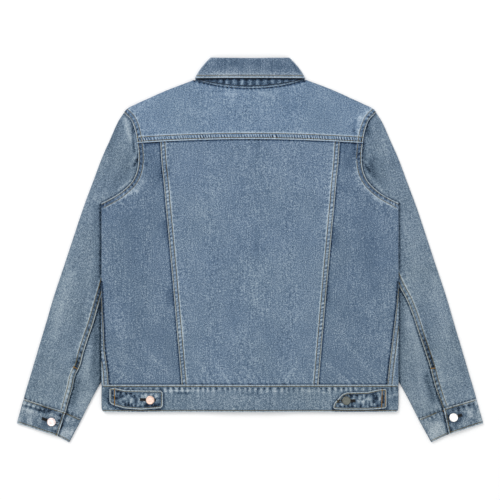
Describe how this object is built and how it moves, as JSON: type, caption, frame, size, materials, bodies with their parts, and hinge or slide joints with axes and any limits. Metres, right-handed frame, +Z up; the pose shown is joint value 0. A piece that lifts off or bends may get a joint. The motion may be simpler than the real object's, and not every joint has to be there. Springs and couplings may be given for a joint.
{
  "type": "denim jacket",
  "caption": "Long-sleeved washed denim jacket lying flat, back up, with a yoke, three back panels, a turned-down collar, buttoned cuffs, and a waistband with side tabs.",
  "frame": {"origin": "centre of the box of the laid-out jacket, on the surface it lies on", "axes": "+X towards the wearer's right sleeve, +Y from the hem towards the collar, +Z up from the surface, so the back of the jacket faces +Z"},
  "size_m": [0.932, 0.768, 0.0127],
  "materials": {
    "body_denim": "washed light blue cotton denim, matte",
    "sleeve_denim": "washed light blue cotton denim, matte",
    "trim_denim": "washed light blue cotton denim, two layers, matte",
    "stand_denim": "less faded blue cotton denim, matte",
    "nickel_buttons": "nickel plate, worn",
    "copper_buttons": "copper plate, pale and worn",
    "gunmetal_buttons": "gunmetal plate, worn",
    "steel_buttons": "steel, worn"
  },
  "bodies": {
    "root": {"back_yoke": "body_denim", "back_centre_panel": "body_denim", "back_side_panel_left": "body_denim", "back_side_panel_right": "body_denim", "front_left": "body_denim", "front_right": "body_denim", "front_button_band": "trim_denim", "sleeve_upper_left": "sleeve_denim", "sleeve_upper_right": "sleeve_denim", "sleeve_under_left": "sleeve_denim", "sleeve_under_right": "sleeve_denim", "cuff_left": "trim_denim", "cuff_right": "trim_denim", "waistband": "trim_denim", "side_tab_left": "trim_denim", "side_tab_right": "trim_denim", "collar_stand": "stand_denim", "collar_fall": "trim_denim", "cuff_button_left": "copper_buttons", "cuff_button_right": "nickel_buttons", "tab_button_left": "copper_buttons", "tab_button_right": "gunmetal_buttons", "front_button_1": "steel_buttons", "front_button_2": "steel_buttons", "front_button_3": "steel_buttons", "front_button_4": "steel_buttons", "front_button_5": "steel_buttons", "front_button_6": "steel_buttons"}
  },
  "joints": []
}
